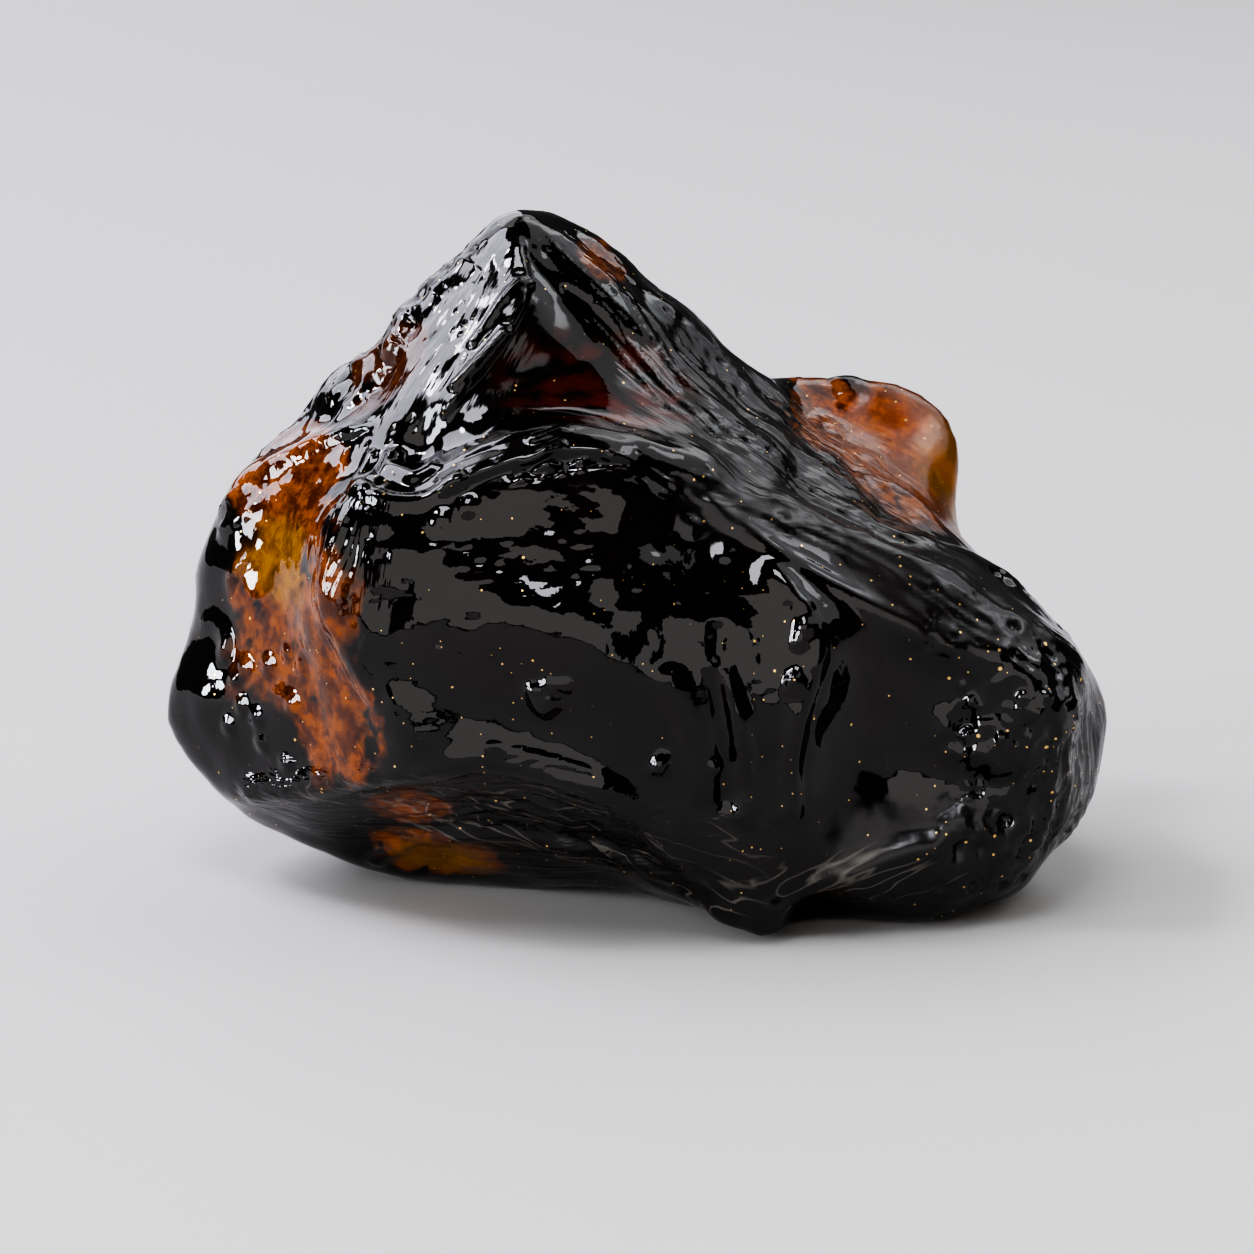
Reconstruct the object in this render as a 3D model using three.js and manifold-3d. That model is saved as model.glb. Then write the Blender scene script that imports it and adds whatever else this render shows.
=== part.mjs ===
// A raw nugget of blue amber: one solid lump of fossil resin about 60 mm wide. It has a tall
// peak, a broad front face under a brow, a scooped hollow beside a pitted right lobe, a knob
// like a hardened drip under its front edge, and a low hump behind its right shoulder.
// Millimetres, +Z up, +Y away from the front face, origin in the middle of the base of its box.
//
// Crest lines and face points are placed by hand, and one smooth sheet is drawn through them.
// The sheet is covered with an even skin of triangles, and the skin gets its raised crests,
// its lumps, dents and pits, and slow waves. Last, the flat that it rests on is cut.
import * as THREE from "three";
import { ImprovedNoise } from "three/addons/math/ImprovedNoise.js";
import { mergeVertices } from "three/addons/utils/BufferGeometryUtils.js";
import Module from "manifold-3d";

// ---- Driving dimensions ----

const HEART = new THREE.Vector3(3, 3, 17); // a point inside, from which the whole skin is seen
const SKIN_DETAIL = 20; // splits along each side of the skin's 20 first triangles
const CREST_STEP = 2.4; // spacing of the sheet's points along a crest
const LEAST_SPACING = 0.9; // points closer than this count as one
const EASE = 0.004; // how far the sheet may miss a point, so that it doesn't kink
const EVENING_PASSES = 30; // passes that space the skin's corners evenly
const FLOOR = -0.5; // height of the flat that it rests on, before it is moved to z = 0
const CREST_WIDTH = 1.4; // half-width of a raised crest
const CREST_TRACE = 0.5; // spacing of the points from which a crest's nearness is measured
const WAVES = [
  { length: 9, height: 0.6 },
  { length: 4.5, height: 0.35 },
];
const PITS = { count: 300, radius: 1.5, depth: 0.6 };

// ---- Crests: the lines where two faces meet; lift is how far a line stands proud ----

const crests = {
  leftCrest: {
    lift: 0.6,
    through: [
      [-8, 0, 42], [-7, -3, 38.5], [-8, -4.5, 36], [-10.5, -6.5, 33], [-11.5, -8, 30.5], [-13.5, -10, 28],
    ],
  },
  leftSkyline: {
    lift: 0.2,
    through: [
      [-8.5, 3, 42.2], [-10.2, 4, 40.3], [-11.3, 4, 38.3], [-13.2, 4, 37], [-14.6, 4, 35],
      [-16.5, 3.5, 33.5], [-20, 3, 31.3], [-21.5, 3, 29.3], [-24, 2.5, 27], [-25.5, 2, 25.5],
    ],
  },
  leftShelf: {
    lift: 0.4,
    through: [[-25, 0, 26], [-22, -2, 27.5], [-18.5, -4, 29], [-15.5, -6, 31], [-12.5, -6.5, 33]],
  },
  leftRim: {
    lift: 0.3,
    through: [
      [-25.5, 2, 25.5], [-27.5, 1.5, 21.5], [-28.5, 1, 17], [-29.5, 0.5, 14], [-30.3, 0, 11],
      [-29, 0, 7.7], [-25.5, -0.5, 4.2], [-22, -1.5, 2.2], [-17.5, -2.5, 1],
    ],
  },
  leftEdge: {
    lift: 0.7,
    through: [
      [-14, -10, 28], [-17, -10.5, 26.5], [-18.5, -11.5, 24.5], [-18, -13, 21.5],
      [-16.5, -14, 18], [-14.5, -15, 14.5], [-13.5, -16, 13],
    ],
  },
  lowerRim: {
    lift: 0.5,
    through: [
      [-26.3, -3.5, 6.3], [-21, -8.5, 7.7], [-16.5, -12.5, 10], [-12, -15.5, 12], [-7, -16, 12],
      [-2.5, -16, 10], [1, -15, 7.5], [5, -14, 4.5], [8, -13, 3],
    ],
  },
  soleRidge: {
    lift: 0.4,
    through: [
      [-17.5, -2.5, 1], [-13, -6.5, 4], [-9.5, -8.5, 5], [-5, -9.5, 5], [-1, -10, 3.5],
      [2.5, -10.5, 2.5], [5, -11, 1.5],
    ],
  },
  dripLip: {
    lift: 0.6,
    through: [[9.5, -13, 2], [11.5, -13, 3], [14, -13, 4], [16.5, -13, 5], [19, -13, 6]],
  },
  faceEdge: {
    lift: 0.6,
    through: [
      [6.5, -9.5, 26], [8, -12, 23], [10.5, -13.5, 20], [10.5, -14, 17.5], [9.5, -14.5, 14],
      [9.5, -14.5, 10.5], [9.5, -14, 6.5], [9.5, -13, 2],
    ],
  },
  brow: {
    lift: 0.6,
    through: [
      [-13.5, -10, 28], [-11, -10.5, 29], [-8.5, -10.5, 30], [-5.5, -10, 31], [-2.5, -10, 30.5],
      [0.5, -9.5, 30], [3, -9, 28.5], [6.5, -9, 26],
    ],
  },
  secondBrow: {
    lift: 0.2,
    through: [
      [-17, -11, 26.5], [-12.5, -12.5, 27.5], [-8.5, -12.5, 28.5], [-4.5, -12, 29], [-1.5, -11.5, 29],
    ],
  },
  faceSwell: {
    lift: 0.4,
    through: [[-17, -13.5, 21.5], [-12, -15, 21], [-7, -16.2, 20.2], [-3, -16.5, 18.5], [1, -16.5, 16.5]],
  },
  shoulder: {
    lift: 0.5,
    through: [
      [6.5, -9, 26], [10, -8.5, 25.5], [14, -8.5, 24], [18.5, -9, 22], [22, -9, 20], [25.5, -8, 17.5],
      [28, -7, 15],
    ],
  },
  shoulderEdge: {
    lift: 0.5,
    through: [
      [8, -11.5, 23], [13, -11.5, 21.5], [16.5, -12, 19], [19.5, -12.5, 18], [24, -12, 16],
      [26.5, -10.5, 13.5],
    ],
  },
  rightRidge: {
    lift: 0.6,
    through: [
      [-6.5, 0.5, 42], [-3.5, -0.5, 39.5], [-1, -1, 37.5], [1, -1.5, 34.5], [3.5, -2, 31.5],
      [6.5, -3, 29], [10, -3, 26], [14, -3.5, 24], [19, -3, 22], [23, -2, 20], [26.5, -2.5, 16.5],
    ],
  },
  nearFlow: {
    lift: 0.6,
    through: [[0, 0, 36], [4, 0, 32], [7.5, 0, 29], [12, -0.5, 26], [16.5, -1, 22.5]],
  },
  farFlow: {
    lift: 0.6,
    through: [[1.5, 3, 36.5], [5, 3, 32.5], [9.5, 3, 28.5], [14, 3, 25.5], [18.5, 2, 22.5]],
  },
  rightSkyline: {
    lift: 0.3,
    through: [[-4.5, 4, 41.5], [-1, 5, 39.5], [1.5, 6, 37], [3.5, 6, 34.6], [6.2, 7, 32], [8.5, 8, 30.5]],
  },
  rightRim: {
    lift: 0.2,
    through: [
      [27.5, -3, 15.3], [29, -3, 13.3], [29.8, -3, 11], [29.8, -3, 8], [28.3, -3.5, 4.5],
      [25.7, -5, 1.7], [22.5, -8, 0.2], [19.5, -9.5, -0.4], [15, -9.5, -0.5],
    ],
  },
  humpTop: {
    lift: 0.2,
    through: [
      [8.5, 9, 30.2], [11, 12, 30.5], [14, 13, 30], [19, 13, 28.7], [21.3, 12, 26.5], [21.5, 11, 24],
      [20.8, 8, 21],
    ],
  },
  backRidge: {
    lift: 0.6,
    through: [[-6, 6, 42], [-5, 9.5, 37.5], [-2, 13.5, 31], [2, 17, 24], [6, 18, 17], [9, 17.5, 12]],
  },
  backLeftRidge: {
    lift: 0.5,
    through: [[-15, 6, 35], [-17.5, 9, 29], [-20, 12, 21], [-20.5, 12.5, 13]],
  },
  backRightRidge: {
    lift: 0.5,
    through: [[19.5, 13.5, 25], [20, 14.5, 19], [22, 12.5, 13], [25.5, 7, 9.5], [28.7, 0, 8]],
  },
  backLedge: {
    lift: 0.6,
    through: [
      [-27, 4, 11], [-20.5, 12.5, 12], [-12, 15.5, 13], [-4, 16.5, 10.5], [4, 18, 11], [12, 16.5, 9],
      [20, 13.5, 11],
    ],
  },
};

// ---- Face points: how each face bulges or sinks between its crests ----

const faces = {
  peak: [[-7, 2, 43], [-9.2, 1.5, 42.2]],
  knob: [[7.5, -12.5, -0.5], [5.8, -12, 0.4], [9.2, -12, 0.4], [7.5, -14.2, 1.4]],
  knobSides: [[3.8, -12, 2], [11.5, -11.5, 1.6]],
  humpFront: [[10.5, 8.5, 28], [14.5, 8.5, 26.5], [18.5, 9.5, 26.5], [20, 7.5, 23.5], [14, 11, 28.5]],
  facetUnderPeak: [
    [-6, -2, 37.5], [-3.5, -3, 35.5], [-5, -5.5, 32.5], [0, -4, 32], [-8.5, -8, 31.5], [-1, -7, 31],
  ],
  frontFace: [
    [-11, -14, 24], [-5.5, -14, 25], [0.5, -13, 25], [3.5, -15, 20], [-9.5, -16, 16], [-4, -15.5, 14.5],
    [2.5, -16, 12.5], [6, -15, 16], [6, -15, 9.5], [-1, -16, 11.5],
  ],
  leftFace: [
    [-23, -4, 24], [-21.5, -7, 20], [-25.5, -4.5, 16], [-20.5, -9.3, 15.5], [-24.5, -6, 10.5],
    [-18, -12, 12.5],
  ],
  hollow: [
    [12.5, -12.6, 18], [15, -11.3, 17.5], [12, -13, 13], [15.5, -10.8, 13], [12, -12.9, 8.5],
    [15.3, -10.8, 9], [14, -12, 5.8], [18, -11, 15], [18.5, -11.2, 10.5], [17.3, -11.8, 7],
  ],
  rightSlope: [
    [20.6, 10, 20.3], [22.2, 8, 18.3], [21.5, 5, 20], [23.5, 3, 18.4], [25.5, 2, 16.7], [27, 1, 15],
  ],
  rightLobe: [
    [22, -12.5, 14.5], [21.5, -13, 10.5], [21.5, -12.5, 7], [25, -11, 10], [24.5, -10.5, 5.5],
    [20, -12, 2.5], [27.5, -8, 11], [27.5, -7, 6.5], [15.5, -12, 1.5],
  ],
  underFace: [[-9.5, -12.5, 8.5], [-5, -13, 7.5], [-15, -10, 7], [-1, -12.5, 6], [3, -12, 3]],
  lowerLip: [
    [-15.3, -4, 1], [-11.3, -4.5, 0.2], [-7.5, -5, 0], [-4, -5, -0.2], [-0.7, -5, 0.1], [2.7, -6.5, -0.4],
  ],
  sole: [
    [-13.5, 0, -1], [-9, -1, -1.4], [-2.5, -1, -1.6], [3.5, -3, -1.6], [14, -6, -1.6], [-14, 6, -1.2],
    [0, 9, -1.4], [14, 6, -1.4], [20, -2, -1],
  ],
  backLeftFace: [[-11, 8.5, 33], [-11, 11.5, 26], [-9, 13.5, 19]],
  leftEnd: [[-24, 6.5, 22], [-27, 5, 16]],
  backGully: [[3, 11, 31.5], [7, 13.5, 26], [11, 14.5, 20]],
  humpBack: [[14, 15.5, 26], [18, 15.5, 24]],
  backRightFace: [[16, 14, 16], [23.2, 9, 15], [26, 3, 13]],
  underLedge: [[-24, 6, 5], [-15, 11, 5], [-4, 13, 4], [6, 14, 4], [16, 11, 4], [24, 5, 4]],
};

// ---- Lumps and dents (height below 0): single forms that belong to no crest ----

const lumps = {
  knobDrop: { at: [7.5, -13.6, 1], radius: 1.6, height: 0.8 },
  knobNeckLeft: { at: [3.8, -13, 3], radius: 1.8, height: -0.7 },
  knobNeckRight: { at: [11, -12, 1], radius: 1.8, height: -1.2 },
  bowl: { at: [-13, -9, 29.5], radius: 1.9, height: -1.2 },
  bowlLip: { at: [-10.8, -10.2, 28.4], radius: 1.4, height: 0.5 },
  skyKnobHigh: { at: [-9.8, 4, 40.2], radius: 1.3, height: 0.4 },
  skyKnobMiddle: { at: [-13.5, 4, 37.2], radius: 1.4, height: 0.5 },
  skyKnobLow: { at: [-19.5, 3, 31.5], radius: 1.5, height: 0.6 },
  slopeKnobs: { at: [-17.5, 0, 32], radius: 1.7, height: 0.7 },
  slopeKnobInner: { at: [-14, -1, 35], radius: 1.7, height: 0.6 },
  slopeKnobHigh: { at: [-10.5, 1, 39], radius: 1.6, height: 0.5 },
  slopeDent: { at: [-16, -3, 32], radius: 1.6, height: -0.7 },
  slopeDentHigh: { at: [-11.5, -2, 36.5], radius: 1.6, height: -0.6 },
  faceDentLeft: { at: [-7, -16.3, 15.5], radius: 4, height: -0.6 },
  faceDentRight: { at: [1, -16.5, 12.5], radius: 3.5, height: -0.6 },
  lobeKnuckle: { at: [23, -12.5, 12.5], radius: 2, height: 0.5 },
  lobeScar: { at: [22.5, -12.3, 8], radius: 1.8, height: -0.7 },
  rimKnuckle: { at: [29.5, -4, 11.5], radius: 1.8, height: 0.4 },
  backScoopHigh: { at: [-9, 11, 30], radius: 4, height: -0.9 },
  backScoopLow: { at: [-13, 14, 20], radius: 4.5, height: -0.9 },
  backBoss: { at: [-4, 15, 22], radius: 3.5, height: 0.8 },
  gullyBoss: { at: [13, 15.5, 16], radius: 3, height: 0.8 },
  endBoss: { at: [25, 6, 16], radius: 3, height: 0.7 },
};

// ---- The sheet through all the crest and face points ----

// A curve through hand-placed points, read off at even steps.
function tracedLine(through, step) {
  const curve = new THREE.CatmullRomCurve3(through.map((p) => new THREE.Vector3(...p)));
  return curve.getSpacedPoints(Math.round(curve.getLength() / step));
}

const points = [];
function addPoint(p) {
  if (points.every((other) => other.distanceTo(p) > LEAST_SPACING)) points.push(p);
}
for (const { through } of Object.values(crests)) tracedLine(through, CREST_STEP).forEach(addPoint);
for (const group of Object.values(faces)) group.forEach((p) => addPoint(new THREE.Vector3(...p)));

// Seen from the heart, one over the distance to the sheet is a sum of cones, one at each
// point, and of four plane terms. Solving for their weights makes the sheet pass through the
// points, and the plane terms keep flat faces flat.
const seen = points.map((p) => p.clone().sub(HEART).normalize());
const planeTerms = (way) => [1, way.x, way.y, way.z];

function solved(rows) {
  const size = rows.length;
  for (let k = 0; k < size; k++) {
    let best = k;
    for (let i = k + 1; i < size; i++) {
      if (Math.abs(rows[i][k]) > Math.abs(rows[best][k])) best = i;
    }
    [rows[k], rows[best]] = [rows[best], rows[k]];
    for (let i = 0; i < size; i++) {
      const share = i === k ? 0 : rows[i][k] / rows[k][k];
      for (let j = k; share !== 0 && j <= size; j++) rows[i][j] -= share * rows[k][j];
    }
  }
  return rows.map((row, k) => row[size] / row[k]);
}

const coneRows = seen.map((way, i) => [
  ...seen.map((other, j) => (i === j ? -EASE : way.distanceTo(other))),
  ...planeTerms(way),
  1 / points[i].distanceTo(HEART),
]);
const planeRows = [0, 1, 2, 3].map((k) => [...seen.map((way) => planeTerms(way)[k]), 0, 0, 0, 0, 0]);
const weights = solved([...coneRows, ...planeRows]);

function sheetPoint(way) {
  let inverse = 0;
  seen.forEach((other, i) => (inverse += weights[i] * way.distanceTo(other)));
  planeTerms(way).forEach((term, k) => (inverse += weights[seen.length + k] * term));
  return way.clone().divideScalar(inverse).add(HEART);
}

// ---- An even skin of triangles over the sheet ----

function bareMesh(geometry) {
  geometry.deleteAttribute("normal");
  geometry.deleteAttribute("uv");
  return mergeVertices(geometry, 1e-4);
}

const skin = bareMesh(new THREE.IcosahedronGeometry(1, SKIN_DETAIL));
const corner = [];
for (let i = 0; i < skin.attributes.position.count; i++) {
  corner.push(sheetPoint(new THREE.Vector3().fromBufferAttribute(skin.attributes.position, i)));
}
const neighbours = corner.map(() => new Set());
for (let i = 0; i < skin.index.count; i++) {
  const first = i - (i % 3);
  const here = skin.index.getX(i);
  neighbours[here].add(skin.index.getX(first + ((i + 1) % 3)));
  neighbours[here].add(skin.index.getX(first + ((i + 2) % 3)));
}
for (let pass = 0; pass < EVENING_PASSES; pass++) {
  for (let i = 0; i < corner.length; i++) {
    const middle = new THREE.Vector3();
    for (const j of neighbours[i]) middle.add(corner[j]);
    const way = middle.divideScalar(neighbours[i].size).sub(HEART).normalize();
    corner[i] = sheetPoint(way);
  }
}
corner.forEach((p, i) => skin.attributes.position.setXYZ(i, p.x, p.y, p.z));
skin.computeVertexNormals();

// ---- Relief: crests, lumps, pits and waves push the skin out or in ----

const crestTrace = [];
for (const { lift, through } of Object.values(crests)) {
  for (const at of tracedLine(through, CREST_TRACE)) crestTrace.push({ at, lift });
}

// Pits lie all over the stone but for its smooth front face, spread by the golden angle.
const GOLDEN_ANGLE = Math.PI * (3 - Math.sqrt(5));
const pits = [];
for (let i = 0; i < PITS.count; i++) {
  const height = 1 - (2 * i + 1) / PITS.count;
  const across = Math.sqrt(1 - height * height);
  const turn = i * GOLDEN_ANGLE;
  const at = sheetPoint(new THREE.Vector3(across * Math.cos(turn), across * Math.sin(turn), height));
  const smoothFront = at.y < -7 && at.x < 19;
  if (!smoothFront) pits.push({ at, size: 0.6 + 0.4 * Math.sin(i * i) });
}

const bell = (distance, width) => Math.exp(-((distance / width) ** 2));
const noise = new ImprovedNoise();
function relief(p) {
  let push = 0;
  for (const { at, lift } of crestTrace) {
    push = Math.max(push, lift * bell(p.distanceTo(at), CREST_WIDTH));
  }
  for (const { at, radius, height } of Object.values(lumps)) {
    push += height * bell(p.distanceTo(new THREE.Vector3(...at)), radius);
  }
  for (const { at, size } of pits) {
    push -= size * PITS.depth * bell(p.distanceTo(at), size * PITS.radius);
  }
  for (const { length, height } of WAVES) {
    push += height * noise.noise(p.x / length, p.y / length, p.z / length);
  }
  return push;
}

corner.forEach((p, i) => {
  const outward = new THREE.Vector3().fromBufferAttribute(skin.attributes.normal, i);
  const { x, y, z } = p.clone().addScaledVector(outward, relief(p));
  skin.attributes.position.setXYZ(i, x, y, z);
});

// ---- The flat that it rests on is cut, and the origin set ----

const wasm = await Module();
wasm.setup();
function solidOf(geometry) {
  const vertProperties = new Float32Array(geometry.attributes.position.array);
  const triVerts = new Uint32Array(geometry.index.array);
  return new wasm.Manifold(new wasm.Mesh({ numProp: 3, vertProperties, triVerts }));
}
const below = bareMesh(new THREE.BoxGeometry(100, 100, 20).translate(0, 0, FLOOR - 10));
const cut = solidOf(skin).subtract(solidOf(below)).getMesh();
const stone = new THREE.BufferGeometry();
stone.setAttribute("position", new THREE.BufferAttribute(cut.vertProperties, 3));
stone.setIndex(new THREE.BufferAttribute(cut.triVerts, 1));
stone.computeBoundingBox();
const middle = stone.boundingBox.getCenter(new THREE.Vector3());
stone.translate(-middle.x, -middle.y, -FLOOR);
stone.computeVertexNormals();

const amber = new THREE.MeshStandardMaterial({ color: "#2a1206", roughness: 0.12, metalness: 0 });
const nugget = new THREE.Mesh(stone, amber);
nugget.name = "amber_nugget";
const group = new THREE.Group();
group.add(nugget);
export default group;
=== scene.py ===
# %% [markdown]
# # A nugget of blue amber
#
# Blue amber is fossil tree resin. A raw nugget has a dark skin that looks wet, and under it the
# resin glows orange where the lump is thin or the skin is clear. The CAD solid gives the size and
# the main forms. This lesson carves the finer relief into a copy of it and gives it its finish.

# %% Load the frame
import math

import bpy
import numpy as np
from mathutils import Euler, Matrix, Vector, noise


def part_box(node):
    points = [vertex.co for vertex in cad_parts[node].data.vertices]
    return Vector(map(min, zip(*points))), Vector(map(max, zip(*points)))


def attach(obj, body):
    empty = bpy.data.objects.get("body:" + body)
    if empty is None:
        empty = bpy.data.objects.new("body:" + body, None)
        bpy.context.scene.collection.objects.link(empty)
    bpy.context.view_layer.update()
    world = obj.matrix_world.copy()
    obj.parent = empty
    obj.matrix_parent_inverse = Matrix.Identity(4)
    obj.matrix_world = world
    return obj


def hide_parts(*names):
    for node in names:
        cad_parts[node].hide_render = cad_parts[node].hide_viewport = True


MM = 0.001

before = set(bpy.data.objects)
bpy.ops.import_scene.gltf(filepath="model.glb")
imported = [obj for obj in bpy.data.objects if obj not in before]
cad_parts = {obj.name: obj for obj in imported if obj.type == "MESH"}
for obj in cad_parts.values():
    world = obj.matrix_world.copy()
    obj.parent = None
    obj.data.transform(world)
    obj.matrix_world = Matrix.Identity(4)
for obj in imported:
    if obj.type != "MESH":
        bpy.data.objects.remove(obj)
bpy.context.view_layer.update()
low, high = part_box("amber_nugget")
print("nugget from", [round(v / MM, 1) for v in low], "to", [round(v / MM, 1) for v in high], "mm")

# %% [markdown]
# ## Camera
#
# A macro view from a little above. A long lens from 223 mm away keeps the lump's proportions
# true, because its near and far sides then differ little in scale.

# %% Place the camera
LENS_MM = 100
CAMERA_DISTANCE = 223 * MM
CAMERA_ELEVATION = math.radians(15)
CAMERA_TARGET = Vector((-0.44, -0.91, 16.6)) * MM

camera_data = bpy.data.cameras.new("camera")
camera_data.lens = LENS_MM
camera_data.clip_start = 5 * MM
camera = bpy.data.objects.new("camera", camera_data)
bpy.context.scene.collection.objects.link(camera)
camera_back = Vector((0, -math.cos(CAMERA_ELEVATION), math.sin(CAMERA_ELEVATION)))
camera.location = CAMERA_TARGET + camera_back * CAMERA_DISTANCE
camera.rotation_euler = Euler((math.pi / 2 - CAMERA_ELEVATION, 0, 0))
bpy.context.scene.camera = camera
print("camera at", [round(v / MM, 1) for v in camera.location], "mm")

# %% [markdown]
# ## Colours
#
# Colours are written as sRGB hex values, as a designer would pick them, and turned linear in one
# place.

# %% Turn a hex colour linear
def linear(hex_colour):
    """An sRGB hex colour as the linear RGBA that Blender's sockets want."""
    channels = [int(hex_colour[i:i + 2], 16) / 255 for i in (1, 3, 5)]
    return [c / 12.92 if c <= 0.04045 else ((c + 0.055) / 1.055) ** 2.4 for c in channels] + [1.0]


# %% [markdown]
# ## Floor
#
# A plain matt board. Its grey is a middle one, and the lights make it pale: a whiter board would
# mirror in the wet skin as a bright haze and drown the amber's colour.

# %% Lay the floor
bpy.ops.object.select_all(action="DESELECT")
bpy.ops.mesh.primitive_plane_add(size=3.0)
floor = bpy.context.object
floor.name = "floor"
floor_paint = bpy.data.materials.new("matt_grey_board")
floor_paint.use_nodes = True
floor_shader = floor_paint.node_tree.nodes["Principled BSDF"]
floor_shader.inputs["Base Color"].default_value = linear("#a6a4a1")
floor_shader.inputs["Roughness"].default_value = 0.8
floor.data.materials.append(floor_paint)
print("floor of 3 m")

# %% [markdown]
# ## Lights
#
# A glossy dark stone is seen mostly by what it mirrors, so each light stands where one part of the
# skin mirrors it towards the camera. The key panel and key lamp draw the sheen of the left slope,
# the top panel that of the brow, and the front panel the bright patches of the front face. The
# round edge panel and left lamp make glints on the left edge and on the blisters, the back and
# shoulder panels show in the right slope and its strap, and the rear panels in the back.
#
# Each light is given by the direction it stands in and by how bright its face is. Most stand about
# a metre off or more, so that the floor round the stone is lit evenly. The world stays dim between
# them, and a view with strong contrast keeps the skin black beside the pale floor.

# %% Place the lights
def softbox(name, azimuth, elevation, distance, size, radiance, colour, shape="RECTANGLE"):
    """A light in metres. Azimuth is from the front towards +X, and radiance is its face's brightness."""
    width, height = size
    light = bpy.data.lights.new(name, "AREA")
    light.shape = shape
    light.size = width
    light.size_y = height
    light.energy = radiance * width * height * math.pi
    light.color = linear(colour)[:3]
    lamp = bpy.data.objects.new(name, light)
    bpy.context.scene.collection.objects.link(lamp)
    turn, lift = math.radians(azimuth), math.radians(elevation)
    way = Vector((math.sin(turn) * math.cos(lift), -math.cos(turn) * math.cos(lift), math.sin(lift)))
    stone_middle = Vector((0, 0, 18)) * MM
    lamp.location = stone_middle + way * distance
    lamp.rotation_euler = way.to_track_quat("Z", "Y").to_euler()


softbox("key_panel", -104, 46, 2.4, (1.85, 1.50), 6.8, "#f1f0ff")
softbox("key_lamp", -78, 56, 1.0, (0.20, 0.20), 24.0, "#f4f3ff", "ELLIPSE")
softbox("top_panel", -14, 68, 0.6, (0.22, 0.26), 9.0, "#f6f6ff")
softbox("front_panel", -4, 21, 1.2, (1.78, 0.89), 1.5, "#fffcfa")
softbox("edge_panel", -62, 15, 1.3, (0.52, 0.52), 13.0, "#f2f6ff", "ELLIPSE")
softbox("left_lamp", -84, 8, 1.3, (0.24, 0.24), 20.0, "#f2f6ff", "ELLIPSE")
softbox("back_panel", 112, 48, 0.9, (1.20, 0.75), 1.3, "#eef0f4")
softbox("shoulder_panel", 96, 48, 0.9, (0.28, 0.28), 3.0, "#f1f4f8")
softbox("rear_panel", 178, 45, 1.6, (1.60, 0.70), 1.1, "#f6f6f6")
softbox("rear_left_panel", -158, 26, 1.2, (0.80, 0.85), 1.8, "#f1f0ff")

world = bpy.data.worlds.new("dim_studio")
bpy.context.scene.world = world
world.use_nodes = True
world.node_tree.nodes["Background"].inputs["Color"].default_value = linear("#e6e8ee")
world.node_tree.nodes["Background"].inputs["Strength"].default_value = 0.13
bpy.context.scene.view_settings.view_transform = "AgX"
bpy.context.scene.view_settings.look = "AgX - Very High Contrast"

# %% [markdown]
# ## Stone body
#
# The CAD solid has flat facets that suit collision and not a close look. A copy is rounded by one
# subdivision and then rebuilt as an even grid of small squares, so that relief can be carved
# anywhere. The CAD mesh itself is left alone.

# %% Copy the solid and even out its skin
VOXEL = 0.55 * MM
MERGE = 0.001 * MM

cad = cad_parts["amber_nugget"]
stone = bpy.data.objects.new("nugget_skin", cad.data.copy())
bpy.context.scene.collection.objects.link(stone)
bpy.ops.object.select_all(action="DESELECT")
stone.select_set(True)
bpy.context.view_layer.objects.active = stone
stone.data.materials.clear()
bpy.ops.object.mode_set(mode="EDIT")
bpy.ops.mesh.select_all(action="SELECT")
bpy.ops.mesh.remove_doubles(threshold=MERGE)
bpy.ops.object.mode_set(mode="OBJECT")


def apply_modifier(kind, **settings):
    """Adds a modifier to the stone, sets it, and applies it."""
    modifier = stone.modifiers.new(kind.lower(), kind)
    for name, value in settings.items():
        setattr(modifier, name, value)
    bpy.ops.object.modifier_apply(modifier=modifier.name)


apply_modifier("SUBSURF", levels=1, render_levels=1)
apply_modifier("REMESH", mode="VOXEL", voxel_size=VOXEL)
apply_modifier("SMOOTH", factor=0.5, iterations=6)
print("even skin:", len(stone.data.polygons), "faces")


# %% Read and write the skin's points
def read_points():
    """The skin's corners, in millimetres, and their outward normals."""
    mesh = stone.data
    points = np.empty(len(mesh.vertices) * 3)
    normals = np.empty(len(mesh.vertices) * 3)
    mesh.vertices.foreach_get("co", points)
    mesh.vertices.foreach_get("normal", normals)
    return points.reshape(-1, 3) / MM, normals.reshape(-1, 3)


def write_points(points):
    """Puts the skin's corners back, from millimetres."""
    stone.data.vertices.foreach_set("co", (points * MM).ravel())
    stone.data.update()


def smooth_step(x):
    """Eases from nought to one without a corner at either end."""
    x = np.clip(x, 0, 1)
    return x * x * (3 - 2 * x)


def zone_reach(points, zone):
    """How far each point lies out in an ellipsoid zone: nought at its centre, one at its edge."""
    centre, radii = zone
    return np.linalg.norm((points - centre) / radii, axis=1)


# %% [markdown]
# The front is seen closest, so its squares are halved once, and again where the sharpest folds
# lie. The rest of the skin stays coarser, which keeps the mesh light.

# %% Finer squares where the relief is finest
FRONT_ZONES = [
    ((0, -14, 16), (34, 14, 26)),
    ((-8, -4, 36), (13, 10, 12)),
    ((10, -2, 28), (18, 8, 11)),
]
FOLD_ZONES = [
    ((-10.5, -5.5, 36), (5, 5, 8)),
    ((-13.5, -9, 29.5), (4.5, 5, 3)),
    ((-6, -12.5, 29.5), (8, 3, 2)),
    ((-17.5, -12, 26), (2.5, 4, 4)),
]


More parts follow.
